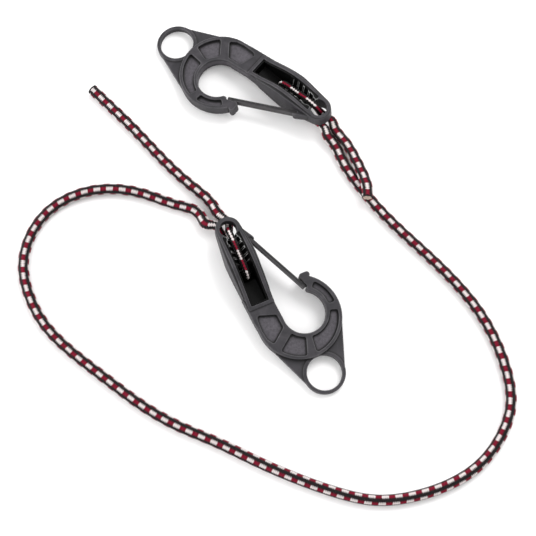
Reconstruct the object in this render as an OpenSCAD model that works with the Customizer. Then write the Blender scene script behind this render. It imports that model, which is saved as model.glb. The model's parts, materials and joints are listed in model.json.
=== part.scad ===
// Adjustable shock cord lanyard: one braided elastic cord held at both ends by a moulded
// snap hook, laid out on a table. Each hook has a finger ring, a gated throat, a deep
// cleat section with a toothed jam slot, and a round eye where the cord comes in.
// Millimetres, +Z up. Each hook is drawn in its own frame: eye at the origin, ring along
// +X, gate on the +Y side, front face up.

/* [Cord] */
// Diameter of the free cord
cord_d = 6; // [5.6:0.2:6.4]
// Diameter of the cord squeezed into a cleat
jam_d = 4.4; // [4:0.2:4.6]
// Diameter of one rubber strand of the core
strand_d = 1.6; // [1.2:0.1:1.7]
// How far the rubber core stands out of a cut end
core_out = 0.6; // [0.4:0.1:1.5]

/* [Finger ring] */
// Distance from the centre of the eye to the centre of the ring
hook_l = 92; // [90:0.5:95]
// Radius of the ring's bore
ring_r = 9.4; // [8:0.2:9.8]
// Width of the ring's rim
ring_rim = 1.9; // [1.5:0.1:2.4]
// Thickness of the ring
ring_t = 3.5; // [3:0.25:4.5]
// Thickness of the two webs between the ring and the hook
web_t = 2.4; // [1.6:0.2:3]

/* [Throat and pockets] */
// Thickness of the hook section
hook_t = 7; // [6.5:0.25:8]
// Radius of the round back
back_r = 22.8; // [22.4:0.1:23.2]
// Radius of the throat
throat_r = 11.7; // [11.2:0.1:12]
// Depth of the pockets in each face
pocket_t = 2.2; // [1:0.1:2.6]
// Width of the raised rim round the pockets
rim_w = 1.9; // [1.6:0.1:2.2]
// Radius of the pockets' corners
pocket_r = 1.2; // [0.5:0.1:1.2]

/* [Gate] */
// Thickness of the gate leaf
gate_t = 2.1; // [1.8:0.1:2.3]
// Width of the gate leaf, along the hook's depth
gate_w = 4; // [3:0.25:5]
// Gap left round the gate
gate_gap = 0.12; // [0.1:0.02:0.2]

/* [Cleat section] */
// Angle between the cleat section and the line from the eye to the ring
cleat_a = 10.5; // [9:0.5:12]
// Half width of the cleat section
boat_w = 8.4; // [8:0.1:9]
// Half depth of its side walls at their highest
boat_t = 8.2; // [7:0.1:9]
// How far the slot's lips rise above the walls at their highest
lip_t = 2; // [1:0.1:2.5]
// Outer radius of the eye
eye_r = 7; // [6.6:0.1:7.4]
// Radius of the eye's hole
eye_hole_r = 4.7; // [4.4:0.1:4.8]
// Half width of the slot that takes the toothed insert
slot_w = 5; // [4.9:0.1:5.4]

/* [Toothed insert] */
// Thickness of the web between the front and the back groove
floor_t = 3.2; // [2.4:0.2:3.6]
// Distance between two teeth
tooth_pitch = 3.8; // [3:0.1:4.5]
// Thickness of one tooth
tooth_t = 1.2; // [0.8:0.1:1.6]
// Height of one tooth
tooth_h = 0.55; // [0.3:0.05:0.7]

/* [Hidden] */
$fn = 96;

plastic = [0.27, 0.265, 0.28];
black_plastic = [0.05, 0.05, 0.055];
braid = [0.42, 0.12, 0.16];
rubber = [0.82, 0.70, 0.58];

// Hook plan: the back and the throat are two circles that don't share a centre
ring_c = [hook_l, 0];
back_c = [hook_l - 31.8, 5.4];
throat_c = [hook_l - 32.7, 9.1];
hinge = [10.6, 7.2];
gate_end = [hook_l - 43.7, 17];
gate_l = norm(gate_end - hinge);
gate_a = atan2(gate_end.y - hinge.y, gate_end.x - hinge.x);

// Cleat section, in a frame turned by cleat_a: u runs from the eye towards the ring
slot_l = hook_l - 48.4;
boat_mid = 20;
boat_half = 26;
slot_start = 3.5;
lip_w = 1.9;
web_end = slot_l - 21.5;
jam_z = floor_t / 2 + jam_d / 2 + 0.4;
function bump(u) = abs(u - boat_mid) > boat_half ? 0 : 0.5 + 0.5 * cos(180 * (u - boat_mid) / boat_half);
function wall_z(u) = hook_t / 2 + (boat_t - hook_t / 2) * bump(u);
function lip_z(u) = wall_z(u) + 0.4 + (lip_t - 0.4) * bump(u);
function insert_z(u) = lip_z(u) - 0.8;

// Where each hook lies: its eye, the turn about Z, and the dip of its ring end, which
// rests on the table together with the two lips on its underside
dip = 5.85;
hook_a = [[39, 50.4, 12.4], 150.5];
hook_b = [[-10.5, -19.6, 12.4], -56];

function unit(v) = v / norm(v);
function turn(p, a) = [p.x * cos(a) - p.y * sin(a), p.x * sin(a) + p.y * cos(a), p.z];
function tip(p, a) = [p.x * cos(a) + p.z * sin(a), p.y, p.z * cos(a) - p.x * sin(a)];
function at_hook(hook, p) = hook[0] + turn(tip(turn(p, -cleat_a), dip), hook[1]);

// The cord inside a hook, in the cleat section's frame: in under the rim, up through the
// eye, along the front groove, round the end of the web, back along the other groove and
// out under the rim again. side is +1 where the leg in the eye lies on the gate side. Each
// leg turns by its own angle as it leaves the rim: turn_in the first, turn_out the last.
function leave(v, turn) = [[-3.8 - 3.2 * cos(turn / 2), v - 3.2 * sin(turn / 2), -7.2],
    [-3.8 - 6.8 * cos(turn), v - 6.8 * sin(turn), -7.9]];
function bight(side, turn_in, turn_out) = let (first = leave(3.1 * side, turn_in)) concat(
    [first[1], first[0], [-3.6, 2.4 * side, -6.4], [-1, 1.2 * side, -3.6], [0.6, 0.4 * side, 0],
    [3, 0, 3.2], [7, 0, jam_z + 0.2], [12, 0, jam_z], [17, 0, jam_z], [web_end, 0, jam_z],
    [web_end + 2.9, 0, jam_z * 0.7], [web_end + jam_z, 0, 0], [web_end + 2.9, 0, -jam_z * 0.7],
    [web_end, 0, -jam_z], [16, 0, -jam_z - 0.4], [9.5, -0.8 * side, -5.8], [3, -2.6 * side, -7.2],
    [-3, -3.1 * side, -7.3]], leave(-3.1 * side, turn_out));
bight_a = bight(-1, -22, -22);
bight_b = bight(1, 20, 42);
last = len(bight_a) - 1;

// The free cord, in the lanyard's own frame, on a table at z = 0
run_route = concat([at_hook(hook_a, bight_a[last])],
    [[47, 35, 4.2], [52, 25, 3.2], [60, 11.5, 3], [69, -0.5, 3], [81, -14, 3], [96, -29, 3], [111, -45, 3],
    [123, -61, 3], [132, -79, 3], [137, -96, 3], [138, -112, 3], [132, -129, 3], [120, -144, 3],
    [104, -154, 3], [86, -160, 3], [66, -162, 3], [46, -158, 3], [26, -151, 3], [5, -142, 3],
    [-16, -132, 3], [-37, -123, 3], [-56, -112, 3], [-75, -98, 3], [-93, -84, 3], [-108, -69, 3],
    [-117, -53, 3], [-121, -37, 3], [-118, -19, 3], [-109, -5, 3], [-93, 5, 3], [-75, 8, 3],
    [-55, 4.5, 3], [-38, -1.5, 3], [-26, -7.5, 4]],
    [at_hook(hook_b, bight_b[last])]);
short_route = concat([at_hook(hook_a, bight_a[0])],
    [[53, 36, 5.2], [59, 25, 5.6], [63, 15, 7.1], [65.1, 6, 8.6], [65, 0.6, 8.9]]);
long_route = concat([at_hook(hook_b, bight_b[0])],
    [[-19, -2, 3.6], [-30, 9, 3], [-43, 21, 3], [-56, 35, 3], [-68, 48, 3], [-79, 59, 3], [-88, 68, 3]]);

// A tube along a route: the ring at each point faces along the cord, and ref keeps the
// rings from twisting
function heading(route, i) =
    unit(route[min(i + 1, len(route) - 1)] - route[max(i - 1, 0)]);
function ring_at(route, i, d, sides, ref) =
    let (t = heading(route, i), across = unit(cross(t, ref)), up = cross(across, t))
    [for (k = [0 : sides - 1]) route[i] + d / 2 * (cos(360 * k / sides) * across + sin(360 * k / sides) * up)];
module tube(route, d, ref, sides = 10) {
    rings = len(route);
    points = [for (i = [0 : rings - 1]) each ring_at(route, i, d, sides, ref)];
    walls = [for (i = [0 : rings - 2], k = [0 : sides - 1])
        [i * sides + k, (i + 1) * sides + k, (i + 1) * sides + (k + 1) % sides, i * sides + (k + 1) % sides]];
    start_cap = [for (k = [0 : sides - 1]) k];
    end_cap = [for (k = [sides - 1 : -1 : 0]) (rings - 1) * sides + k];
    polyhedron(points, concat([start_cap], walls, [end_cap]), convexity = 6);
}

// One rubber strand standing out of the last ring of a route: strand 1 is in the middle
module strand(route, number) {
    end = route[len(route) - 1];
    dir = heading(route, len(route) - 1);
    round = 60 * number;
    offset_r = number == 1 ? 0 : strand_d + 0.06;
    color(rubber)
    translate(end)
    rotate([0, acos(dir.z), atan2(dir.y, dir.x)])
    translate([offset_r * cos(round), offset_r * sin(round), 0])
    cylinder(d = strand_d, h = core_out, $fn = 32);
}

// Hook plan shapes
module at(p) {
    translate([p.x, p.y]) children();
}
module cleat_frame() {
    rotate([0, 0, -cleat_a]) children();
}
module sector(from, to) {
    at(throat_c)
    polygon([[0, 0], for (k = [0 : 6]) let (a = from + (to - from) * k / 6) 60 * [cos(a), sin(a)]]);
}
module gate_strip(extra) {
    at(hinge) rotate([0, 0, gate_a]) translate([0, -gate_t / 2 - extra])
    square([gate_l + 6 * extra, gate_t + 2 * extra]);
}
module nose_head() {
    hull() {
        translate(gate_end + [-5.1, 4.6]) circle(1.6, $fn = 32);
        translate(gate_end + [-5.5, 1.9]) circle(1.7, $fn = 32);
    }
    hull() {
        translate(gate_end + [-5.2, 2.2]) circle(1.5, $fn = 32);
        translate(gate_end + [0.4, 3.2]) circle(2.3, $fn = 32);
    }
}
module hook_plan() {
    difference() {
        union() {
            at(back_c) circle(back_r, $fn = 180);
            polygon([[36, 1.3], [47, -1.3], [throat_c.x, throat_c.y - throat_r - 0.1],
                [back_c.x, back_c.y - back_r], [50, -16.6], [36, -15]]);
        }
        at(throat_c) circle(throat_r, $fn = 120);
        polygon([[throat_c.x, throat_c.y - throat_r], [47, -1.3], [36, 1.3], [30, 26], [44.6, 24.2],
            [46.9, 17], [51, 17], [throat_c.x, throat_c.y]]);
    }
    nose_head();
}
module boat_plan() {
    hull() {
        circle(eye_r);
        translate([17, 0]) circle(boat_w);
    }
    hull() {
        translate([17, 0]) circle(boat_w);
        translate([slot_l - 7, 0]) circle(boat_w - 0.6);
    }
}
module slot_plan() {
    translate([slot_start, -slot_w]) square([slot_l - slot_start, 2 * slot_w]);
}
module lip_plan() {
    hull() {
        circle(eye_r - 0.7);
        translate([14, -slot_w - lip_w]) square([1, 2 * (slot_w + lip_w)]);
    }
    translate([14, -slot_w - lip_w]) square([slot_l + lip_w - 14, 2 * (slot_w + lip_w)]);
}
module crescent() {
    difference() {
        at(back_c) circle(back_r - rim_w, $fn = 120);
        at(throat_c) circle(throat_r + rim_w, $fn = 96);
    }
}
module rounded() {
    offset(r = pocket_r, $fn = 24) offset(delta = -pocket_r) children();
}
module pocket_plan() {
    rounded() intersection() { crescent(); sector(-17, 61); }
    rounded() intersection() { crescent(); sector(-64, -30); }
    rounded() intersection() { crescent(); sector(76, 129); }
    rounded() polygon([[47.6, -13], [52.6, -4.1], [60.3, -4.9], [65, -14], [61, -15.6], [56, -15.5], [50, -14.2]]);
}

// A slab whose half depth follows a profile along the cleat section: 0 wall, 1 lip, 2 insert
module profile(kind) {
    stations = [for (u = [-8 : 2 : slot_l + 3]) u];
    function z(u) = kind == 0 ? wall_z(u) : kind == 1 ? lip_z(u) : insert_z(u);
    rotate([90, 0, 0])
    linear_extrude(60, center = true)
    polygon(concat([for (u = stations) [u, z(u)]],
        [for (k = [len(stations) - 1 : -1 : 0]) [stations[k], -z(stations[k])]]));
}

module hook_body() {
    difference() {
        union() {
            linear_extrude(hook_t, center = true) hook_plan();
            linear_extrude(web_t, center = true)
            difference() {
                hull() {
                    at(back_c) circle(back_r, $fn = 180);
                    at(ring_c) circle(ring_r + ring_rim - 0.3, $fn = 120);
                }
                at(back_c) circle(back_r - 2, $fn = 120);
                translate([0, -50]) square([back_c.x, 100]);
            }
            at(ring_c) cylinder(r = ring_r + ring_rim, h = ring_t, center = true);
            cleat_frame() {
                intersection() {
                    profile(0);
                    linear_extrude(60, center = true) boat_plan();
                }
                intersection() {
                    profile(1);
                    linear_extrude(60, center = true) lip_plan();
                }
            }
            linear_extrude(gate_w + 1.6, center = true)
            hull() {
                at(hinge) circle(2.1, $fn = 32);
                translate([3, 4]) circle(2.5, $fn = 32);
                translate([12, 1]) circle(2.5, $fn = 32);
            }
        }
        at(ring_c) cylinder(r = ring_r, h = 20, center = true);
        cylinder(r = eye_hole_r, h = 60, center = true);
        cleat_frame() linear_extrude(60, center = true) slot_plan();
        for (side = [-1, 1])
        translate([0, 0, side * hook_t / 2])
        linear_extrude(2 * pocket_t, center = true) pocket_plan();
        at(hinge) cylinder(r = gate_t / 2 + gate_gap, h = 20, center = true);
        linear_extrude(20, center = true)
        at(hinge)
        polygon([[0, gate_t / 2 + gate_gap], [20, gate_t / 2 + 5.4], [20, -2.6], [0, -gate_t / 2 - gate_gap]]);
        linear_extrude(20, center = true) gate_strip(gate_gap);
    }
}

module v_groove(foot, mouth, from, to) {
    translate([from, 0, 0])
    rotate([90, 0, 90])
    linear_extrude(to - from)
    polygon([[-foot, floor_t / 2], [foot, floor_t / 2], [mouth, 9.5], [mouth, 14], [-mouth, 14], [-mouth, 9.5]]);
}
module grooves() {
    v_groove(1.3, slot_w - 0.9, 0, web_end);
    for (u = [6 : tooth_pitch : web_end - tooth_pitch + tooth_t])
    v_groove(1.3 + tooth_h, slot_w - 0.9 + tooth_h, u, u + tooth_pitch - tooth_t);
}
module insert_body() {
    cleat_frame()
    difference() {
        intersection() {
            profile(2);
            linear_extrude(60, center = true) slot_plan();
        }
        cylinder(r = eye_hole_r, h = 60, center = true);
        grooves();
        mirror([0, 0, 1]) grooves();
        rotate([90, 0, 0])
        linear_extrude(2 * slot_w - 1.8, center = true)
        polygon([[web_end, 14], [slot_l - 1, 14], [slot_l - 1, -2.2], [web_end + 7, -4], [web_end + 3, -6.4],
            [web_end, -6.6]]);
    }
}

module gate_leaf() {
    at(hinge) {
        cylinder(r = gate_t / 2, h = gate_w, center = true, $fn = 48);
        rotate([0, 0, gate_a])
        translate([0, -gate_t / 2, -gate_w / 2])
        difference() {
            cube([gate_l, gate_t, gate_w]);
            for (z = [-0.1, gate_w - 0.3])
            translate([6, gate_t / 2 - 0.2, z]) cube([gate_l - 8, 0.4, 0.4]);
        }
    }
}

module lay(hook) {
    translate(hook[0]) rotate([0, 0, hook[1]]) rotate([0, dip, 0]) children();
}

module hook_a_body() { color(plastic) lay(hook_a) hook_body(); }
module hook_a_insert() { color(black_plastic) lay(hook_a) insert_body(); }
module hook_a_gate() { color(plastic) lay(hook_a) gate_leaf(); }
module hook_b_body() { color(plastic) lay(hook_b) hook_body(); }
module hook_b_insert() { color(black_plastic) lay(hook_b) insert_body(); }
module hook_b_gate() { color(plastic) lay(hook_b) gate_leaf(); }
module cord_run() { color(braid) tube(run_route, cord_d, [0, 0, 1]); }
module cord_short_tail() { color(braid) tube(short_route, cord_d, [0, 0, 1]); }
module cord_long_tail() { color(braid) tube(long_route, cord_d, [0, 0, 1]); }
module cord_bight_a() { color(braid) lay(hook_a) cleat_frame() tube(bight_a, jam_d, [0, 1, 0]); }
module cord_bight_b() { color(braid) lay(hook_b) cleat_frame() tube(bight_b, jam_d, [0, 1, 0]); }

hook_a_body();
hook_a_insert();
hook_a_gate();
hook_b_body();
hook_b_insert();
hook_b_gate();
cord_run();
cord_short_tail();
cord_long_tail();
cord_bight_a();
cord_bight_b();
strand(short_route, 1);  // core_short_1
strand(short_route, 2);  // core_short_2
strand(short_route, 3);  // core_short_3
strand(short_route, 4);  // core_short_4
strand(short_route, 5);  // core_short_5
strand(short_route, 6);  // core_short_6
strand(short_route, 7);  // core_short_7
strand(long_route, 1);  // core_long_1
strand(long_route, 2);  // core_long_2
strand(long_route, 3);  // core_long_3
strand(long_route, 4);  // core_long_4
strand(long_route, 5);  // core_long_5
strand(long_route, 6);  // core_long_6
strand(long_route, 7);  // core_long_7
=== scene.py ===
"""Adjustable shock cord lanyard: the looks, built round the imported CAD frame. Lengths in metres."""
import json
import math

import bpy
import numpy as np
from mathutils import Matrix, Vector


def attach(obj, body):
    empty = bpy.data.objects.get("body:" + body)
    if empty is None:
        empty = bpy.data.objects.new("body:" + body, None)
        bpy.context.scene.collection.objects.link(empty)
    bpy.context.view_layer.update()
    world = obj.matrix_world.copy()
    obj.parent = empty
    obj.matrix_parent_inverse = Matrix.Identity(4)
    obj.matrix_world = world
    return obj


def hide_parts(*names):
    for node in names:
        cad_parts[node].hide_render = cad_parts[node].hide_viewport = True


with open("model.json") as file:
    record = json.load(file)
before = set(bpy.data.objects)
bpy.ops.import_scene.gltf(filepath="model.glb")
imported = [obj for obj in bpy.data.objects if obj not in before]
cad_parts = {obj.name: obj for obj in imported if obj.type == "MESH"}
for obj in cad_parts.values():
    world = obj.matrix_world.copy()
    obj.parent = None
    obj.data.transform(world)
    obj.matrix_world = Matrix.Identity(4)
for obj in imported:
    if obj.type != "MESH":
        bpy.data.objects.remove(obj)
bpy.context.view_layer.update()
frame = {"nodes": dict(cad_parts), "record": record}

MM = 0.001
UP = Vector((0, 0, 1))
mounts = {m["name"]: m for m in frame["record"]["mounts"]}


# ---------------------------------------------------------------- camera
LOOK_AT = Vector((11.0, -36.6, 0.0)) * MM
CAMERA_ELEVATION = math.radians(72.6)
CAMERA_DISTANCE = 724.1 * MM
CAMERA_LENS = 89.77
SENSOR_W = 36.0
FAR_CLIP = 10.0
TO_CAMERA = Vector((0, -math.cos(CAMERA_ELEVATION), math.sin(CAMERA_ELEVATION)))


def make_camera():
    data = bpy.data.cameras.new("camera")
    data.lens = CAMERA_LENS
    data.sensor_width = SENSOR_W
    data.clip_end = FAR_CLIP
    camera = bpy.data.objects.new("camera", data)
    camera.location = LOOK_AT + CAMERA_DISTANCE * TO_CAMERA
    camera.rotation_euler = (math.pi / 2 - CAMERA_ELEVATION, 0, 0)
    bpy.context.scene.collection.objects.link(camera)
    bpy.context.scene.camera = camera
    bpy.context.scene.view_settings.view_transform = "Standard"


make_camera()


# ---------------------------------------------------------------- hook frames
# Where a hook's two round mounts lie in its own frame, and how far its cleat section is turned
RING_AT = Vector((92.0, 0.0, 0.0)) * MM
THROAT_AT = Vector((59.3, 9.1, 0.0)) * MM
CLEAT_ANGLE = math.radians(10.5)


def hook_matrix(letter):
    """The frame of one hook, from its two round mounts: eye at the origin, ring along +X, front +Z."""
    ring = Vector(mounts["ring_" + letter]["pos_m"])
    throat = Vector(mounts["throat_" + letter]["pos_m"])
    front = Vector(mounts["ring_" + letter]["axis"]).normalized()
    step = RING_AT - THROAT_AT
    along = (ring - throat).normalized()
    across = front.cross(along)
    turn = math.atan2(step.y, step.x)
    x_axis = math.cos(turn) * along - math.sin(turn) * across
    y_axis = front.cross(x_axis)
    axes = Matrix((x_axis, y_axis, front)).transposed()
    return Matrix.Translation(ring - axes @ RING_AT) @ axes.to_4x4()


hooks = {letter: hook_matrix(letter) for letter in "ab"}
to_cleat = Matrix.Rotation(-CLEAT_ANGLE, 4, "Z")


# ---------------------------------------------------------------- cord route
# Sizes, and the points of the route, are in millimetres until they are multiplied by MM
CORD_D = 6.0
JAM_D = 4.4
FLOOR_T = 3.2
SLOT_L = 43.6
NOTCH_L = 21.5
WEB_END = SLOT_L - NOTCH_L
LEG_LIFT = 0.4
JAM_Z = FLOOR_T / 2 + JAM_D / 2 + LEG_LIFT
EYE_X = -3.8
LEAVE_R = (3.2, 6.8)
LEAVE_Z = (-7.2, -7.9)


def leave(v, turn):
    """The two points where a leg of the cord leaves the eye, turning by an angle in degrees."""
    angles = (math.radians(turn / 2), math.radians(turn))
    return [(EYE_X - r * math.cos(a), v - r * math.sin(a), z) for r, a, z in zip(LEAVE_R, angles, LEAVE_Z)]


def bight(side, turn_in, turn_out):
    """The cord inside a hook, in the cleat section's frame, in millimetres."""
    return leave(3.1 * side, turn_in)[::-1] + [
        (-3.6, 2.4 * side, -6.4), (-1, 1.2 * side, -3.6), (0.6, 0.4 * side, 0), (3, 0, 3.2),
        (7, 0, JAM_Z + 0.2), (12, 0, JAM_Z), (17, 0, JAM_Z), (WEB_END, 0, JAM_Z),
        (WEB_END + 2.9, 0, JAM_Z * 0.7), (WEB_END + JAM_Z, 0, 0), (WEB_END + 2.9, 0, -JAM_Z * 0.7),
        (WEB_END, 0, -JAM_Z), (16, 0, -JAM_Z - 0.4), (9.5, -0.8 * side, -5.8), (3, -2.6 * side, -7.2),
        (-3, -3.1 * side, -7.3),
    ] + leave(-3.1 * side, turn_out)


def in_hook(letter, points):
    place = hooks[letter] @ to_cleat
    return [place @ (Vector(p) * MM) for p in points]


bight_a = in_hook("a", bight(-1, -22, -22))
bight_b = in_hook("b", bight(1, 20, 42))
run_points = [Vector(p) * MM for p in [
    (47, 35, 4.2), (52, 25, 3.2), (60, 11.5, 3), (69, -0.5, 3), (81, -14, 3), (96, -29, 3), (111, -45, 3),
    (123, -61, 3), (132, -79, 3), (137, -96, 3), (138, -112, 3), (132, -129, 3), (120, -144, 3),
    (104, -154, 3), (86, -160, 3), (66, -162, 3), (46, -158, 3), (26, -151, 3), (5, -142, 3),
    (-16, -132, 3), (-37, -123, 3), (-56, -112, 3), (-75, -98, 3), (-93, -84, 3), (-108, -69, 3),
    (-117, -53, 3), (-121, -37, 3), (-118, -19, 3), (-109, -5, 3), (-93, 5, 3), (-75, 8, 3),
    (-55, 4.5, 3), (-38, -1.5, 3), (-26, -7.5, 4),
]]
short_points = [Vector(p) * MM for p in [
    (53, 36, 5.2), (59, 25, 5.6), (63, 15, 7.1), (65.1, 6, 8.6), (65, 0.6, 8.9),
]]
long_points = [Vector(p) * MM for p in [
    (-19, -2, 3.6), (-30, 9, 3), (-43, 21, 3), (-56, 35, 3), (-68, 48, 3), (-79, 59, 3), (-88, 68, 3),
]]

STEP = 0.4 * MM
FINE_SAMPLES = 12000


def natural_spline(points):
    """A smooth curve through the points, sampled every STEP; also the arc length at each point."""
    p = np.array([tuple(v) for v in points])
    t = np.concatenate([[0], np.cumsum(np.linalg.norm(np.diff(p, axis=0), axis=1))])
    h = np.diff(t)
    n = len(p)
    a = np.eye(n)
    b = np.zeros((n, 3))
    for i in range(1, n - 1):
        a[i, i - 1:i + 2] = h[i - 1], 2 * (h[i - 1] + h[i]), h[i]
        b[i] = 6 * ((p[i + 1] - p[i]) / h[i] - (p[i] - p[i - 1]) / h[i - 1])
    m = np.linalg.solve(a, b)

    def at(x):
        i = np.clip(np.searchsorted(t, x) - 1, 0, n - 2)
        lo, hi, w = (t[i + 1] - x)[:, None], (x - t[i])[:, None], h[i][:, None]
        return ((m[i] * lo ** 3 + m[i + 1] * hi ** 3) / (6 * w)
                + (p[i] / w - m[i] * w / 6) * lo + (p[i + 1] / w - m[i + 1] * w / 6) * hi)

    fine = np.linspace(0, t[-1], FINE_SAMPLES)
    q = at(fine)
    s = np.concatenate([[0], np.cumsum(np.linalg.norm(np.diff(q, axis=0), axis=1))])
    count = int(round(s[-1] / STEP)) + 1
    even = np.linspace(0, s[-1], count)
    samples = np.stack([np.interp(even, s, q[:, k]) for k in range(3)], axis=1)
    return even, samples, np.interp(t, fine, s)


whole = short_points[::-1] + bight_a + run_points + bight_b[::-1] + long_points
cord_s, cord_p, knots = natural_spline(whole)
first_a = len(short_points)
last_a = first_a + len(bight_a) - 1
last_b = last_a + len(run_points) + 1
first_b = last_b + len(bight_b) - 1
spans = {
    "cord_short_tail": (0.0, knots[first_a]),
    "cord_bight_a": (knots[first_a], knots[last_a]),
    "cord_run": (knots[last_a], knots[last_b]),
    "cord_bight_b": (knots[last_b], knots[first_b]),
    "cord_long_tail": (knots[first_b], cord_s[-1]),
}


NO_TURN = 1e-18


def carried_frames(p):
    """Tangents, and a pair of axes carried along the curve without twist."""
    t = np.gradient(p, axis=0)
    t /= np.linalg.norm(t, axis=1)[:, None]
    n = np.zeros_like(p)
    start = np.array(UP) - t[0] * t[0][2]
    n[0] = start / np.linalg.norm(start)
    for i in range(len(p) - 1):
        v = p[i + 1] - p[i]
        c = v @ v
        n_l = n[i] - 2 / c * (v @ n[i]) * v
        t_l = t[i] - 2 / c * (v @ t[i]) * v
        w = t[i + 1] - t_l
        c = w @ w
        n[i + 1] = n_l if c < NO_TURN else n_l - 2 / c * (w @ n_l) * w
        n[i + 1] -= t[i + 1] * (n[i + 1] @ t[i + 1])
        n[i + 1] /= np.linalg.norm(n[i + 1])
    return t, n, np.cross(t, n)


cord_t, cord_n, cord_b = carried_frames(cord_p)

LADDERS = 4


def angle_of(direction, s):
    """The angle round the cord, in the carried frame at arc length s, that faces a direction."""
    i = int(np.clip(np.searchsorted(cord_s, s), 0, len(cord_s) - 1))
    d = np.array(direction)
    return math.atan2(d @ cord_b[i], d @ cord_n[i])


# Where one ladder of blocks faces the camera: shares of the tails, and points of the bights' legs
SHORT_SHARES = (0.0, 0.35, 0.7)
LONG_SHARES = (0.3, 0.6, 1.0)
LEG_A_POINTS = (7, 9)
LEG_B_POINTS = (10, 12)
# How far the free cord is turned about itself: millimetres along it, and degrees of the ladder
RUN_MARKS = range(15, 640, 25)
RUN_AT = (0, 120, 170, 210, 250, 300, 340, 375, 450, 590, 620, 645)
RUN_LEAN = (0, 0, 14, 34, 45, 58, 74, 88, 95, 90, 110, 130)


def ladder_angles():
    """Which way one ladder of light floats faces, all along the cord, from a few marks on it."""
    marks = []

    def mark(s, lean):
        a = angle_of(TO_CAMERA, s) + math.radians(lean)
        if marks:
            turn = 2 * math.pi / LADDERS
            a += turn * round((marks[-1][1] - a) / turn)
        marks.append((s, a))

    def along(name, share):
        lo, hi = spans[name]
        return lo + share * (hi - lo)

    for share in SHORT_SHARES:
        mark(along("cord_short_tail", share), 0)
    for point in LEG_A_POINTS:
        mark(knots[first_a + point], 0)
    for at in RUN_MARKS:
        mark(spans["cord_run"][0] + at * MM, np.interp(at, RUN_AT, RUN_LEAN))
    for point in LEG_B_POINTS:
        mark(knots[last_b + point], 0)
    for share in LONG_SHARES:
        mark(along("cord_long_tail", share), 0)
    return np.interp(cord_s, [m[0] for m in marks], [m[1] for m in marks])


ladder_angle = ladder_angles()


def smooth_step(x):
    x = np.clip(x, 0, 1)
    return x * x * (3 - 2 * x)


JAM_LEAD = 2 * MM
JAM_EASE = 9 * MM


def jammed(s):
    """0 on the free cord, 1 where it is squeezed in a cleat."""
    total = np.zeros_like(s)
    for name in ("cord_bight_a", "cord_bight_b"):
        lo, hi = spans[name]
        total += smooth_step((s - lo + JAM_LEAD) / JAM_EASE) * smooth_step((hi + JAM_LEAD - s) / JAM_EASE)
    return total


cord_r = (CORD_D + (JAM_D - CORD_D) * jammed(cord_s)) / 2 * MM
# The braid's lay on the free cord, and how much longer it gets where the cord is squeezed
LAY = 7.05 * MM
STRETCH = 1.6
turns = np.concatenate([[0], np.cumsum(STEP / (LAY * (1 + (STRETCH - 1) * jammed(cord_s[1:]))))])


# ---------------------------------------------------------------- materials
def new_material(name):
    material = bpy.data.materials.new(name)
    material.use_nodes = True
    return material, material.node_tree, material.node_tree.nodes["Principled BSDF"]


def node(tree, kind, **values):
    """A shader node; names with a capital are its sockets, the others its own settings."""
    made = tree.nodes.new(kind)
    for key, value in values.items():
        if key[0].isupper():
            made.inputs[key.replace("_", " ")].default_value = value
        else:
            setattr(made, key, value)
    return made


def ramp(tree, fac, stops):
    made = tree.nodes.new("ShaderNodeValToRGB")
    while len(made.color_ramp.elements) < len(stops):
        made.color_ramp.elements.new(0.5)
    for element, (at, colour) in zip(made.color_ramp.elements, stops):
        element.position = at
        element.color = (*colour, 1)
    tree.links.new(fac, made.inputs["Fac"])
    return made


def noise(tree, place, scale, detail, roughness, distortion=0.0):
    made = node(tree, "ShaderNodeTexNoise", Scale=scale, Detail=detail, Roughness=roughness,
                Distortion=distortion)
    tree.links.new(place, made.inputs["Vector"])
    return made.outputs["Fac"]


def maths(tree, operation, a, b=None, c=None):
    """A sum on outputs or plain numbers, such as a * b, a * b + c or sin a."""
    made = node(tree, "ShaderNodeMath", operation=operation)
    for socket, value in zip(made.inputs, (a, b, c)):
        if isinstance(value, (int, float)):
            socket.default_value = value
        elif value is not None:
            tree.links.new(value, socket)
    return made.outputs["Value"]


def mixed(tree, factor, low, high):
    """A colour from low to high by a factor; high is an output or a plain colour."""
    made = node(tree, "ShaderNodeMix", data_type="RGBA")
    tree.links.new(factor, made.inputs["Factor"])
    tree.links.new(low, made.inputs["A"])
    if isinstance(high, (tuple, list)):
        made.inputs["B"].default_value = (*high, 1)
    else:
        tree.links.new(high, made.inputs["B"])
    return made.outputs["Result"]


def painted(tree, name):
    """A number stored on the mesh's points."""
    return node(tree, "ShaderNodeAttribute", attribute_name=name).outputs["Fac"]


def add_bump(tree, shader, height, strength, distance):
    bump = node(tree, "ShaderNodeBump", Strength=strength, Distance=distance)
    tree.links.new(height, bump.inputs["Height"])
    tree.links.new(bump.outputs["Normal"], shader.inputs["Normal"])


def tinted(colour, share, lift=0.0):
    return [share * c + lift for c in colour]


SLOT_SHADE_BLACK = (0.006, 0.005, 0.005)
FILAMENTS = 7
FILAMENT_SLANT = 0.55
FILAMENT_DEPTH = 0.35
FUZZ_SCALE = (0.9, 26, 1)


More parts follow.
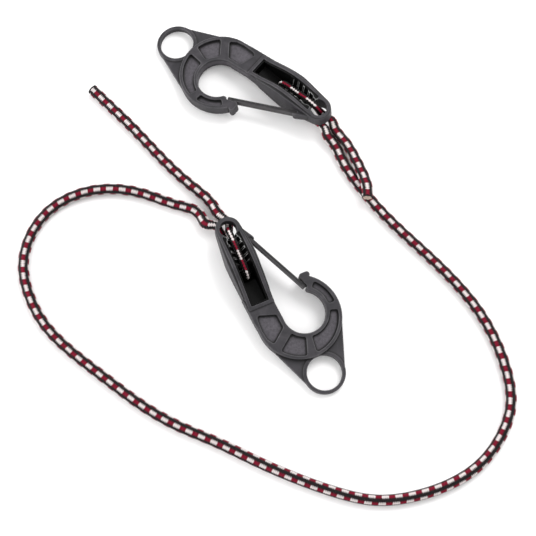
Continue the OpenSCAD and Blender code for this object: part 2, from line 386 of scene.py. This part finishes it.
def yarn_material(name, dark, light, roughness, sheen, shine):
    """Twisted filament yarn: fine filaments at a slant to it, and painted shade, near black, on the flanks
    that the insert's teeth grip.
    """
    material, tree, shader = new_material(name)
    shader.inputs["Roughness"].default_value = roughness
    shader.inputs["Sheen Weight"].default_value = sheen
    shader.inputs["Sheen Roughness"].default_value = 0.4
    shader.inputs["Specular IOR Level"].default_value = shine
    uv = node(tree, "ShaderNodeUVMap", uv_map="yarn")
    split = node(tree, "ShaderNodeSeparateXYZ")
    tree.links.new(uv.outputs["UV"], split.inputs["Vector"])
    slant = maths(tree, "MULTIPLY_ADD", split.outputs["X"], FILAMENT_SLANT, split.outputs["Y"])
    wave = maths(tree, "SINE", maths(tree, "MULTIPLY", slant, 2 * math.pi * FILAMENTS))
    stretch = node(tree, "ShaderNodeMapping")
    stretch.inputs["Scale"].default_value = FUZZ_SCALE
    tree.links.new(uv.outputs["UV"], stretch.inputs["Vector"])
    fuzz = noise(tree, stretch.outputs["Vector"], scale=1.0, detail=4.0, roughness=0.65)
    height = maths(tree, "MULTIPLY_ADD", wave, FILAMENT_DEPTH, fuzz)
    # Colour follows the filament height: darker in the grooves between filaments as painted shade, and uneven
    # by the fuzz noise
    colour = ramp(tree, height, [(0.1, dark), (0.75, light)]).outputs["Color"]
    # Painted shade: the yarn colour goes towards near black on a leg's flanks between the insert's teeth
    slot_shaded = mixed(tree, painted(tree, "slot_shade"), colour, SLOT_SHADE_BLACK)
    tree.links.new(slot_shaded, shader.inputs["Base Color"])
    add_bump(tree, shader, height, strength=0.55, distance=0.12 * MM)
    return material


white_yarn = yarn_material("white_yarn", dark=(0.44, 0.37, 0.37), light=(0.78, 0.72, 0.71),
                           roughness=0.65, sheen=0.12, shine=0.35)
red_yarn = yarn_material("red_yarn", dark=(0.07, 0.001, 0.008), light=(0.27, 0.004, 0.026),
                         roughness=0.62, sheen=0.02, shine=0.14)
black_yarn = yarn_material("black_yarn", dark=(0.003, 0.003, 0.003), light=(0.016, 0.012, 0.013),
                           roughness=0.6, sheen=0.02, shine=0.12)


def plain(name, colour, roughness):
    material, tree, shader = new_material(name)
    shader.inputs["Base Color"].default_value = (*colour, 1)
    shader.inputs["Roughness"].default_value = roughness
    return material


# Painted shade: the inside of the sheath, the walls and bottom of a cut end's mouth round the core, near
# black
sheath_inside_shade = plain("sheath_inside_shade", (0.012, 0.008, 0.009), 0.9)


RUBBER_DARK = (0.34, 0.25, 0.21)
RUBBER_LIGHT = (0.58, 0.47, 0.40)


def rubber_material():
    """Pale tan rubber, dusty, with a fine cut grain."""
    material, tree, shader = new_material("rubber")
    shader.inputs["Roughness"].default_value = 0.7
    shader.inputs["Subsurface Weight"].default_value = 0.1
    shader.inputs["Subsurface Radius"].default_value = (1.2 * MM, 0.6 * MM, 0.4 * MM)
    place = node(tree, "ShaderNodeTexCoord").outputs["Object"]
    grain = noise(tree, place, scale=2600.0, detail=5.0, roughness=0.7)
    colour = ramp(tree, grain, [(0.3, RUBBER_DARK), (0.7, RUBBER_LIGHT)]).outputs["Color"]
    tree.links.new(colour, shader.inputs["Base Color"])
    add_bump(tree, shader, grain, strength=0.6, distance=0.1 * MM)
    return material


rubber = rubber_material()


# ---------------------------------------------------------------- braided cord
# Sixteen carriers, two over and two under. Four white and four red yarns wind one way and show as
# ladders of blocks; eight black yarns wind the other way and show as the rails between the ladders.
# The skin is a lattice: i counts fine steps across the coloured yarns, j across the black ones.
# A float is highest in its middle and dips towards its ends. CROWN, GROOVE and RAIL_DROP are depths.
YARNS = 8
I_STEPS = 3
J_STEPS = 2
REPEAT = 4
FLOAT_DIP = 0.35
WHITE_SHARE = 0.56
LADDER_ANGLE = math.radians(33.75)
STRAIGHTEN = 0.028
LADDER_PINCH = math.radians(4)
CROWN = 0.14 * MM
GROOVE = 0.42 * MM
RAIL_DROP = 0.10 * MM
WHITE, RED, BLACK, INSIDE_SHADE = range(4)
yarn_widths = np.where(np.arange(YARNS) < YARNS // 2, WHITE_SHARE, 1 - WHITE_SHARE) / (YARNS // 2)
yarn_starts = np.concatenate([[0], np.cumsum(yarn_widths)[:-1]])


def lattice_turn(i, j):
    """How many turns of the lay along the cord a lattice point is, and its angle from the ladder."""
    cell, part = np.divmod(i, I_STEPS)
    whole_turns, yarn = np.divmod(cell, YARNS)
    coloured = whole_turns + yarn_starts[yarn] + part / I_STEPS * yarn_widths[yarn]
    angle = LADDER_ANGLE - math.pi / YARNS * (i / I_STEPS + j / J_STEPS)
    turn = (j / J_STEPS / YARNS - coloured) / 2 + STRAIGHTEN * np.sin(LADDERS * angle)
    return turn, angle - LADDER_PINCH * np.sin(LADDERS * angle)


def lattice_height(i, j):
    """0 in the grooves between floats, 1 on a float's crest, and whether a black yarn is on top."""
    a, fa = np.divmod(i, I_STEPS)
    b, fb = np.divmod(j, J_STEPS)
    # Columns 0 and 1 are the halves of a coloured float, 2 and 3 those of a black one
    column = (a + b) % REPEAT
    fa = fa / I_STEPS
    fb = fb / J_STEPS
    black = column >= REPEAT // 2
    on_i = fa == 0
    on_j = fb == 0
    across = np.where(black, 2 * fb - 1, 2 * fa - 1)
    along = np.where(black, np.where(column == 2, fa - 1, fa), np.where(column == 0, fb - 1, fb))
    height = np.sqrt(np.clip(1 - across ** 2, 0, 1)) * (1 - FLOAT_DIP * along ** 2)
    low = np.where(on_i & on_j, True, np.where(on_i, column != 3, np.where(on_j, column != 1, False)))
    return np.where(low, 0.0, height), black


# Between the teeth a leg is squeezed to an upright oval, and its flanks get painted shade, near black, where
# the teeth shade them
JAM_OVAL = 0.2
HELD_FROM = 12 * MM
HELD_EASE = 6 * MM
SLOT_SHADE_FROM = 0.52
SLOT_SHADE_EASE = 0.22
INSIDE_LAST = 1.001


def slot_sideways(letter):
    return np.array((hooks[letter] @ to_cleat).to_3x3() @ Vector((0, 1, 0)))


def held(s, letter):
    """How hard a hook's insert grips the cord at s: 0 outside the slot, 1 between the teeth."""
    low, high = spans["cord_bight_" + letter]
    return smooth_step((s - low - HELD_FROM) / HELD_EASE) * smooth_step((high - HELD_FROM - s) / HELD_EASE)


def along_cord(values, s):
    """A value of the centre line at any length s, between its samples."""
    at = np.clip(s / (cord_s[1] - cord_s[0]), 0, len(cord_s) - INSIDE_LAST)
    k = at.astype(int)
    w = (at - k)[:, None]
    return values[k] * (1 - w) + values[k + 1] * w


def cord_out(s, angle):
    """The direction out of the cord at a length s and an angle of the braid."""
    turned = angle + np.interp(s, cord_s, ladder_angle)
    return along_cord(cord_n, s) * np.cos(turned)[:, None] + along_cord(cord_b, s) * np.sin(turned)[:, None]


def cord_surface(turn, angle, depth):
    """Points on the cord, a depth under its outside."""
    s = np.interp(turn, turns, cord_s)
    radius = np.interp(s, cord_s, cord_r)
    scale = radius / (CORD_D / 2 * MM)
    out = cord_out(s, angle)
    for letter in "ab":
        sideways = slot_sideways(letter)
        out = out - (JAM_OVAL * held(s, letter) * (out @ sideways))[:, None] * sideways
    return along_cord(cord_p, s) + out * (radius - depth * scale)[:, None]


def slot_shade_marks(turn, angle):
    """How dark the painted shade makes the yarns: 1 on the flanks of a leg that the teeth grip, 0 elsewhere.
    """
    s = np.interp(turn, turns, cord_s)
    total = np.zeros(len(s))
    for letter in "ab":
        across = np.abs(cord_out(s, angle) @ slot_sideways(letter))
        total = total + held(s, letter) * np.clip((across - SLOT_SHADE_FROM) / SLOT_SHADE_EASE, 0, 1)
    return total


CORNERS = np.array([(0, 0), (0, 1), (1, 1), (1, 0)])
PER_TURN = I_STEPS * YARNS
AROUND = J_STEPS * YARNS
# At a cut end, in turns of the lay: the least that a cell reaches past it, its raggedness, its black rim
CUT_KEEP = 0.004
CUT_RAGGED = 0.02
CUT_RIM_TURN = 0.11
# A fixed scatter of the lattice points: up to UNEVEN inward, and SHIFTED turns along the cord
HASH_I, HASH_J, HASH_SPREAD = 12.9898, 78.233, 43758.5453
UNEVEN = 0.05 * MM
SHIFTED = 0.012
# The yarn's coordinates: how many to a float, how far one yarn is set off from the next, and repeats
YARN_UV = 1.5
YARN_UV_STEP = 1.7
UV_REPEATS = (64, 31)
# The mouth of the cut sheath
MOUTH_R = 2.42 * MM
MOUTH_DEEP = 1.6 * MM
LIP_IN = 0.1 * MM
PATH_STEP = 8


def stretch_cells(t0, t1, cut_start, cut_end):
    """The lattice cells between two counts of turns; at a cut, all that reach past it are kept."""
    i_low = int(-2 * t1 * PER_TURN) - 2 * PER_TURN
    i_high = int(-2 * t0 * PER_TURN) + 3 * PER_TURN
    ii, jj = np.meshgrid(np.arange(i_low, i_high), np.arange(AROUND), indexing="ij")
    ii, jj = ii.ravel(), jj.ravel()
    turn = lattice_turn(ii[:, None] + CORNERS[:, 0], jj[:, None] + CORNERS[:, 1])[0]
    middle = turn.mean(axis=1)
    keep_low = turn.max(axis=1) > t0 + CUT_KEEP if cut_start else middle >= t0
    keep_high = turn.min(axis=1) < t1 - CUT_KEEP if cut_end else middle < t1
    keep = keep_low & keep_high
    return ii[keep], jj[keep], i_low


def shared_corners(ii, jj, i_low):
    """The lattice points that the cells share, and each cell as four of their numbers."""
    ci = ii[:, None] + CORNERS[:, 0]
    cj = jj[:, None] + CORNERS[:, 1]
    wrapped = cj == AROUND
    ki = np.where(wrapped, ci - PER_TURN, ci) - (i_low - PER_TURN)
    kj = np.where(wrapped, 0, cj)
    keys, quads = np.unique(ki * AROUND + kj, return_inverse=True)
    return keys // AROUND + (i_low - PER_TURN), keys % AROUND, quads.reshape(-1, 4)


def skin_points(vi, vj, t0, t1, cut_start, cut_end):
    """Turns, places and painted-shade shares of the lattice points, each a little uneven."""
    turn, angle = lattice_turn(vi, vj)
    height, black = lattice_height(vi, vj)
    jitter = np.sin(vi * HASH_I + vj * HASH_J) * HASH_SPREAD
    jitter = jitter - np.floor(jitter) - 0.5
    drop = np.where(black, RAIL_DROP * height, 0)
    depth = GROOVE * (1 - height) - CROWN + drop + UNEVEN * (jitter + 0.5)
    turn = turn + SHIFTED * jitter
    if cut_start:
        turn = np.maximum(turn, t0 + CUT_RAGGED * (jitter + 0.5))
    if cut_end:
        turn = np.minimum(turn, t1 - CUT_RAGGED * (jitter + 0.5))
    return turn, cord_surface(turn, angle, depth), slot_shade_marks(turn, angle)


def yarn_on_top(ii, jj):
    """Each cell's yarn: its material slot, and the coordinates of its corners along and across it."""
    a, fa = np.divmod(ii, I_STEPS)
    b, fb = np.divmod(jj, J_STEPS)
    black = (a + b) % REPEAT >= REPEAT // 2
    slots = np.where(black, BLACK, np.where(a % YARNS < YARNS // 2, WHITE, RED))
    wide_i = (fa[:, None] + CORNERS[:, 0]) / I_STEPS
    wide_j = (fb[:, None] + CORNERS[:, 1]) / J_STEPS
    long_i = a[:, None] % UV_REPEATS[0] + wide_i
    long_j = b[:, None] + wide_j + YARN_UV_STEP * (a[:, None] % UV_REPEATS[1])
    u = np.where(black[:, None], long_i, long_j) * YARN_UV
    v = np.where(black[:, None], wide_j, wide_i)
    return slots, np.stack([u, v], axis=2).reshape(-1, 2)


def open_edges(faces):
    """The edges that only one cell uses, in that cell's direction."""
    used = dict.fromkeys((quad[k], quad[(k + 1) % 4]) for quad in faces for k in range(4))
    return [(p, q) for p, q in used if (q, p) not in used]


def add_face(skin, face, slot):
    skin["faces"].append(face)
    skin["slots"].append(slot)
    skin["uvs"].extend([(0.0, 0.5)] * len(face))


def mouth_rings(points, ring, centre, tangent):
    """The inner edge of the cut sheath, and the bottom of the mouth that the core stands in."""
    inner, deep = {}, {}
    for p in ring:
        out = np.array(points[p]) - centre
        out -= tangent * (out @ tangent)
        edge = centre + out / np.linalg.norm(out) * MOUTH_R
        inner[p] = len(points)
        points.append((edge + LIP_IN * tangent).tolist())
        deep[p] = len(points)
        points.append((edge + MOUTH_DEEP * tangent).tolist())
    return [inner, deep]


def close_end(skin, members, end_s, cut, inward):
    """Closes one end of a stretch, flat where it meets the next one or as a mouth where it is cut."""
    i = int(np.clip(np.searchsorted(cord_s, end_s), 0, len(cord_s) - 1))
    centre, tangent = cord_p[i], cord_t[i] * inward
    points = skin["points"]
    rings = [{p: p for edge in members for p in edge}]
    if cut:
        rings += mouth_rings(points, rings[0], centre, tangent)
    hub = len(points)
    points.append((centre + tangent * (MOUTH_DEEP if cut else 0)).tolist())
    for p, q in members:
        for number, (near, far) in enumerate(zip(rings, rings[1:])):
            add_face(skin, [near[q], near[p], far[p], far[q]], BLACK if number == 0 else INSIDE_SHADE)
        add_face(skin, [rings[-1][q], rings[-1][p], hub], INSIDE_SHADE)


def braid_skin(span, cut_start, cut_end):
    """One stretch of the cord as a closed skin, and how much painted shade darkens each of its points."""
    t0, t1 = np.interp(span, cord_s, turns)
    ii, jj, i_low = stretch_cells(t0, t1, cut_start, cut_end)
    vi, vj, quads = shared_corners(ii, jj, i_low)
    turn, points, slot_shade = skin_points(vi, vj, t0, t1, cut_start, cut_end)
    slots, uvs = yarn_on_top(ii, jj)
    # Near a cut end the cells take the black yarn, a dark rim round the end
    if cut_start:
        slots = np.where(turn[quads].min(axis=1) < t0 + CUT_RIM_TURN, BLACK, slots)
    if cut_end:
        slots = np.where(turn[quads].max(axis=1) > t1 - CUT_RIM_TURN, BLACK, slots)
    skin = {"points": points.tolist(), "faces": quads.tolist(), "slots": slots.tolist(), "uvs": uvs.tolist()}
    edges = open_edges(skin["faces"])
    middle = (t0 + t1) / 2
    close_end(skin, [e for e in edges if turn[e[0]] < middle], span[0], cut_start, 1)
    close_end(skin, [e for e in edges if turn[e[0]] >= middle], span[1], cut_end, -1)
    return skin, np.append(slot_shade, np.zeros(len(skin["points"]) - len(slot_shade)))


def braid_piece(name, node_name, span, cut_start=False, cut_end=False):
    """One stretch of the cord, and the points it follows."""
    skin, slot_shade = braid_skin(span, cut_start, cut_end)
    mesh = bpy.data.meshes.new(name)
    mesh.from_pydata(skin["points"], [], skin["faces"])
    layer = mesh.uv_layers.new(name="yarn")
    layer.data.foreach_set("uv", np.array(skin["uvs"], dtype=np.float32).ravel())
    for material in (white_yarn, red_yarn, black_yarn, sheath_inside_shade):
        mesh.materials.append(material)
    mesh.polygons.foreach_set("material_index", skin["slots"])
    # Stores the painted shade of the teeth on the leg's flanks
    paint(mesh, "slot_shade", slot_shade)
    mesh.shade_smooth()
    piece = add_piece(name, mesh, "lanyard", "braid", node_name)
    i0, i1 = np.searchsorted(cord_s, span)
    i1 = min(i1, len(cord_s) - 1)
    return piece, [tuple(p) for p in cord_p[i0:i1:PATH_STEP]] + [tuple(cord_p[i1])]


def paint(mesh, name, values):
    layer = mesh.attributes.new(name, "FLOAT", "POINT")
    layer.data.foreach_set("value", values)


def add_piece(name, mesh, body, slot, *nodes):
    piece = bpy.data.objects.new(name, mesh)
    bpy.context.scene.collection.objects.link(piece)
    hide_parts(*nodes)
    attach(piece, body)
    return piece


run, run_path = braid_piece("braid_run", "cord_run", spans["cord_run"])
short_tail, short_path = braid_piece("braid_short_tail", "cord_short_tail", spans["cord_short_tail"],
                                     cut_start=True)
long_tail, long_path = braid_piece("braid_long_tail", "cord_long_tail", spans["cord_long_tail"],
                                   cut_end=True)
braid_piece("braid_bight_a", "cord_bight_a", spans["cord_bight_a"])
braid_piece("braid_bight_b", "cord_bight_b", spans["cord_bight_b"])


# ---------------------------------------------------------------- rubber core
# One strand in the middle and six round it. Seats in degrees; foot, top and reach in millimetres
STRANDS = 7
STRAND_R = 0.78 * MM
STRAND_SIDES = 14
STRAND_RING = 1.62 * MM
STRAND_SEAT = (60, 10)
STRAND_FOOT = -1.5
STRAND_TOP = ((-0.22, 1.0), (-0.07, 0.95), (0, 0.82), (0.03, 0.4))
STRAND_OVAL = 0.06
STRAND_LUMPS = 0.03
STRAND_SLOPE = 0.1
REACH = 0.28
REACH_SPREAD = 0.12
REACH_PHASE = 2.3
SLOPE_PHASE = 1.7


def strand_rings(reach):
    """Millimetres along a strand, and the share of its radius that it has there."""
    return [(STRAND_FOOT, 1.0)] + [(reach + rise, wide) for rise, wide in STRAND_TOP]


def rubber_strand(name, node_name, end, direction, number, reach):
    """One rubber strand of the core: a rounded, slightly uneven end that stands out of the sheath."""
    side = direction.cross(UP).normalized()
    lift = side.cross(direction)
    seat = math.radians(STRAND_SEAT[0] * number + STRAND_SEAT[1])
    away = 0 if number == 1 else STRAND_RING
    centre = end + away * (math.cos(seat) * side + math.sin(seat) * lift)
    rings = strand_rings(reach)
    verts, faces = [], []
    for along, wide in rings:
        for k in range(STRAND_SIDES):
            a = 2 * math.pi * k / STRAND_SIDES
            oval = STRAND_OVAL * math.sin(2 * a + number)
            lumps = STRAND_LUMPS * math.sin(5 * a + 2 * number)
            r = STRAND_R * wide * (1 + oval + lumps)
            slope = STRAND_SLOPE * math.sin(a + SLOPE_PHASE * number) * wide if along > 0 else 0
            out = math.cos(a) * side + math.sin(a) * lift
            verts.append(centre + direction * (along + slope) * MM + r * out)
    for ring in range(len(rings) - 1):
        for k in range(STRAND_SIDES):
            k2 = (k + 1) % STRAND_SIDES
            low, high = ring * STRAND_SIDES, (ring + 1) * STRAND_SIDES
            faces.append((low + k, high + k, high + k2, low + k2))
    top = (len(rings) - 1) * STRAND_SIDES
    faces.append(tuple(top + k for k in reversed(range(STRAND_SIDES))))
    faces.append(tuple(range(STRAND_SIDES)))
    mesh = bpy.data.meshes.new(name)
    mesh.from_pydata([tuple(v) for v in verts], [], faces)
    mesh.materials.append(rubber)
    mesh.shade_smooth()
    add_piece(name, mesh, "lanyard", "core_rubber", node_name)


def rubber_core(word, end, direction):
    for number in range(1, STRANDS + 1):
        reach = REACH + REACH_SPREAD * math.sin(REACH_PHASE * number)
        rubber_strand(f"rubber_{word}_{number}", f"core_{word}_{number}", end, direction, number, reach)


rubber_core("short", Vector(cord_p[0]), -Vector(cord_t[0]))
rubber_core("long", Vector(cord_p[-1]), Vector(cord_t[-1]))


# ---------------------------------------------------------------- hooks
# The round back of a hook and its pockets, in millimetres in the hook's own frame
BACK_AT = (60.2, 5.4)
BACK_R = 22.8
RIM_W = 1.2
POCKET_FROM = 46
POCKET_FLOOR = 1.3
FLOOR_NEAR = 0.35
TEETH_HALF = 3.9
TEETH_SHORT = 0.6
# Each part's voxel size, smoothing passes and most faces
DETAIL = {"body": (0.32 * MM, 2, 150000), "insert": (0.2 * MM, 1, 90000), "gate": (0.16 * MM, 1, 30000)}
WELD_WITHIN = 0.001 * MM
# How sharp a bend is made fully pale (wear and painted highlight), and over how many edges of the mesh a
# corner's painted shade spreads
WEAR_AND_HIGHLIGHT_FROM = 0.04
WEAR_AND_HIGHLIGHT_BEND = {"body": 0.3, "insert": 0.1, "gate": 0.3}
CORNER_SHADE_SPREAD = {"body": 4, "insert": 1, "gate": 1}
CORNER_SHADE_PASSED, CORNER_SHADE_KEPT = 0.85, 0.15
CORNER_SHADE_FULL = 0.09
NO_LENGTH = 1e-9
# The plastic's grain and polish, and how its tones change on pocket floors, on edges (wear and painted
# highlight) and in corners (painted shade)
GRAIN_DEPTH = 0.04 * MM
POLISH_SPREAD = 0.07
FLOOR_TONES = (1.3, 2.4)
EDGE_TONE = 1.3
CORNER_SHADE_TONE = 0.08


def plastic_material(name, dark, light, roughness, grain_strength, edge_lift, shine):
    """Moulded nylon: a fine eroded grain, faint flow marks, edges paler from wear and painted highlight,
    corners darkened as painted shade.
    """
    material, tree, shader = new_material(name)
    shader.inputs["Specular IOR Level"].default_value = shine
    place = node(tree, "ShaderNodeTexCoord").outputs["Object"]
    grain = noise(tree, place, scale=3200.0, detail=3.0, roughness=0.6)
    cloud = noise(tree, place, scale=120.0, detail=4.0, roughness=0.6, distortion=0.6)
    speckle = noise(tree, place, scale=700.0, detail=3.0, roughness=0.7)
    flow = ramp(tree, cloud, [(0.35, dark), (0.65, light)]).outputs["Color"]
    low, high = [tinted(light, tone) for tone in FLOOR_TONES]
    eroded = ramp(tree, speckle, [(0.3, low), (0.7, high)]).outputs["Color"]
    body = mixed(tree, painted(tree, "pocket"), flow, eroded)
    # Edges paler: partly wear, partly painted highlight
    worn_and_highlit = maths(tree, "MULTIPLY", painted(tree, "edge_wear_and_highlight"), cloud)
    edged = mixed(tree, worn_and_highlit, body, tinted(light, EDGE_TONE, edge_lift))
    # Painted shade: concave corners darkened towards near black
    shaded = mixed(tree, painted(tree, "corner_shade"), edged, tinted(dark, CORNER_SHADE_TONE))
    tree.links.new(shaded, shader.inputs["Base Color"])
    polish = node(tree, "ShaderNodeMapRange")
    polish.inputs["To Min"].default_value = roughness - POLISH_SPREAD
    polish.inputs["To Max"].default_value = roughness + POLISH_SPREAD
    tree.links.new(cloud, polish.inputs["Value"])
    tree.links.new(polish.outputs["Result"], shader.inputs["Roughness"])
    add_bump(tree, shader, grain, grain_strength, GRAIN_DEPTH)
    return material


hook_plastic = plastic_material("hook_plastic", dark=(0.016, 0.015, 0.018), light=(0.034, 0.031, 0.036),
                                roughness=0.55, grain_strength=0.8, edge_lift=0.16, shine=0.28)
insert_plastic = plastic_material("insert_plastic", dark=(0.001, 0.001, 0.001), light=(0.003, 0.003, 0.003),
                                  roughness=0.4, grain_strength=0.1, edge_lift=0.7, shine=0.1)
gate_plastic = plastic_material("gate_plastic", dark=(0.017, 0.016, 0.018), light=(0.036, 0.033, 0.035),
                                roughness=0.5, grain_strength=0.8, edge_lift=0.12, shine=0.3)


def evaluated_copy(work):
    return work.evaluated_get(bpy.context.evaluated_depsgraph_get())


def refined(part):
    """A CAD part in its hook's own frame, with its edges rounded as moulding leaves them."""
    voxel, passes, most_faces = DETAIL[part]
    mesh = frame["nodes"]["hook_a_" + part].data.copy()
    mesh.transform(hooks["a"].inverted())
    work = bpy.data.objects.new("work", mesh)
    bpy.context.scene.collection.objects.link(work)
    weld = work.modifiers.new("weld", "WELD")
    weld.merge_threshold = WELD_WITHIN
    remesh = work.modifiers.new("remesh", "REMESH")
    remesh.mode = "VOXEL"
    remesh.voxel_size = voxel
    smooth = work.modifiers.new("smooth", "SMOOTH")
    smooth.factor = 0.5
    smooth.iterations = passes
    thin = work.modifiers.new("thin", "DECIMATE")
    bpy.context.view_layer.update()
    triangles = len(evaluated_copy(work).data.polygons) * 2
    thin.ratio = min(1.0, most_faces / triangles)
    bpy.context.view_layer.update()
    result = bpy.data.meshes.new_from_object(evaluated_copy(work))
    bpy.data.objects.remove(work)
    mark_edges(result, part)
    return result


def vertex_values(mesh, key):
    values = np.empty(len(mesh.vertices) * 3)
    mesh.vertices.foreach_get(key, values)
    return values.reshape(-1, 3)


def bends(mesh):
    """How far each vertex stands out of its neighbours, and a function that averages over them."""
    at, facing = vertex_values(mesh, "co"), vertex_values(mesh, "normal")
    ends = np.empty(len(mesh.edges) * 2, dtype=int)
    mesh.edges.foreach_get("vertices", ends)
    near, far = ends.reshape(-1, 2).T
    links = np.maximum(np.bincount(ends, minlength=len(at)), 1)

    def from_neighbours(to_near, to_far):
        total = np.bincount(near, to_near, len(at)) + np.bincount(far, to_far, len(at))
        return total / links

    step = at[far] - at[near]
    size = np.linalg.norm(step, axis=1) + NO_LENGTH
    out_near = -(step * facing[near]).sum(axis=1) / size
    out_far = (step * facing[far]).sum(axis=1) / size
    return from_neighbours(out_near, out_far), lambda values: from_neighbours(values[far], values[near])


def on_pocket_floor(flat):
    from_back = np.hypot(flat[:, 0] - BACK_AT[0], flat[:, 1] - BACK_AT[1])
    low = np.abs(flat[:, 2]) < POCKET_FLOOR + FLOOR_NEAR
    return low & (from_back < BACK_R - RIM_W) & (flat[:, 0] > POCKET_FROM)


def on_teeth(flat):
    in_slot = np.array(to_cleat.inverted().to_3x3()) @ flat.T
    return (np.abs(in_slot[1]) < TEETH_HALF) & (in_slot[0] < WEB_END - TEETH_SHORT)


def mark_edges(mesh, part):
    """Stores how far each vertex stands out or lies in a corner, and which ones are pocket floor."""
    bend, from_neighbours = bends(mesh)
    flat = vertex_values(mesh, "co") / MM
    # Convex edges made paler: partly wear, partly painted highlight
    wear_and_highlight = np.clip((bend - WEAR_AND_HIGHLIGHT_FROM) / WEAR_AND_HIGHLIGHT_BEND[part], 0, 1)
    # Painted highlight: on the insert only the teeth edges are made paler, in place of glints on the ribs
    if part == "insert":
        wear_and_highlight = np.where(on_teeth(flat), wear_and_highlight, 0)
    # Painted shade: how deep each vertex lies in a concave corner, spread over a few edges
    corner_shade = np.clip(-bend, 0, 1)
    for _ in range(CORNER_SHADE_SPREAD[part]):
        corner_shade = np.maximum(corner_shade, CORNER_SHADE_PASSED * from_neighbours(corner_shade) + CORNER_SHADE_KEPT * corner_shade)
    paint(mesh, "edge_wear_and_highlight", wear_and_highlight)
    paint(mesh, "corner_shade", np.clip(corner_shade / CORNER_SHADE_FULL, 0, 1))
    paint(mesh, "pocket", np.where(on_pocket_floor(flat), 1.0, 0.0))


def place_part(part, body_of_a, body_of_b, mesh, material, slot):
    mesh.materials.clear()
    mesh.materials.append(material)
    mesh.shade_smooth()
    for letter, body in (("a", body_of_a), ("b", body_of_b)):
        copy = mesh.copy()
        copy.transform(hooks[letter])
        add_piece(f"{part}_{letter}", copy, body, slot, f"hook_{letter}_{'body' if part == 'hook' else part}")


place_part("hook", "lanyard", "lanyard", refined("body"), hook_plastic, "hook_plastic")
place_part("insert", "lanyard", "lanyard", refined("insert"), insert_plastic, "insert_plastic")
place_part("gate", "gate_a", "gate_b", refined("gate"), gate_plastic, "hook_plastic")


# ---------------------------------------------------------------- floor and light
FLOOR_HALF = 3.0
FLOOR_WHITE = (0.9, 0.895, 0.895)
FLOOR_DROP = 0.2 * MM
SKY_LIGHT = 1.12
LAMP_SIZE = 0.9
KEY_AT, KEY_POWER = (0.7, 0.8, 1.3), 17
FILL_AT, FILL_POWER = (-1.5, 0.1, 0.35), 20


def make_floor():
    mesh = bpy.data.meshes.new("floor")
    corners = [(-1, -1), (1, -1), (1, 1), (-1, 1)]
    mesh.from_pydata([(x * FLOOR_HALF, y * FLOOR_HALF, 0) for x, y in corners], [], [(0, 1, 2, 3)])
    mesh.materials.append(plain("floor", FLOOR_WHITE, roughness=0.7))
    floor = bpy.data.objects.new("floor", mesh)
    floor.location.z = -FLOOR_DROP
    bpy.context.scene.collection.objects.link(floor)


def area_light(name, at, power):
    """A square white lamp that faces the middle of the part."""
    data = bpy.data.lights.new(name, "AREA")
    data.shape = "SQUARE"
    data.size = LAMP_SIZE
    data.energy = power
    light = bpy.data.objects.new(name, data)
    light.location = at
    light.rotation_euler = (-Vector(at)).to_track_quat("-Z", "Y").to_euler()
    bpy.context.scene.collection.objects.link(light)


def make_world(strength):
    world = bpy.data.worlds.new("studio")
    world.use_nodes = True
    background = world.node_tree.nodes["Background"]
    background.inputs["Color"].default_value = (1, 1, 1, 1)
    background.inputs["Strength"].default_value = strength
    bpy.context.scene.world = world


make_floor()
make_world(SKY_LIGHT)
area_light("key", KEY_AT, KEY_POWER)
area_light("fill", FILL_AT, FILL_POWER)
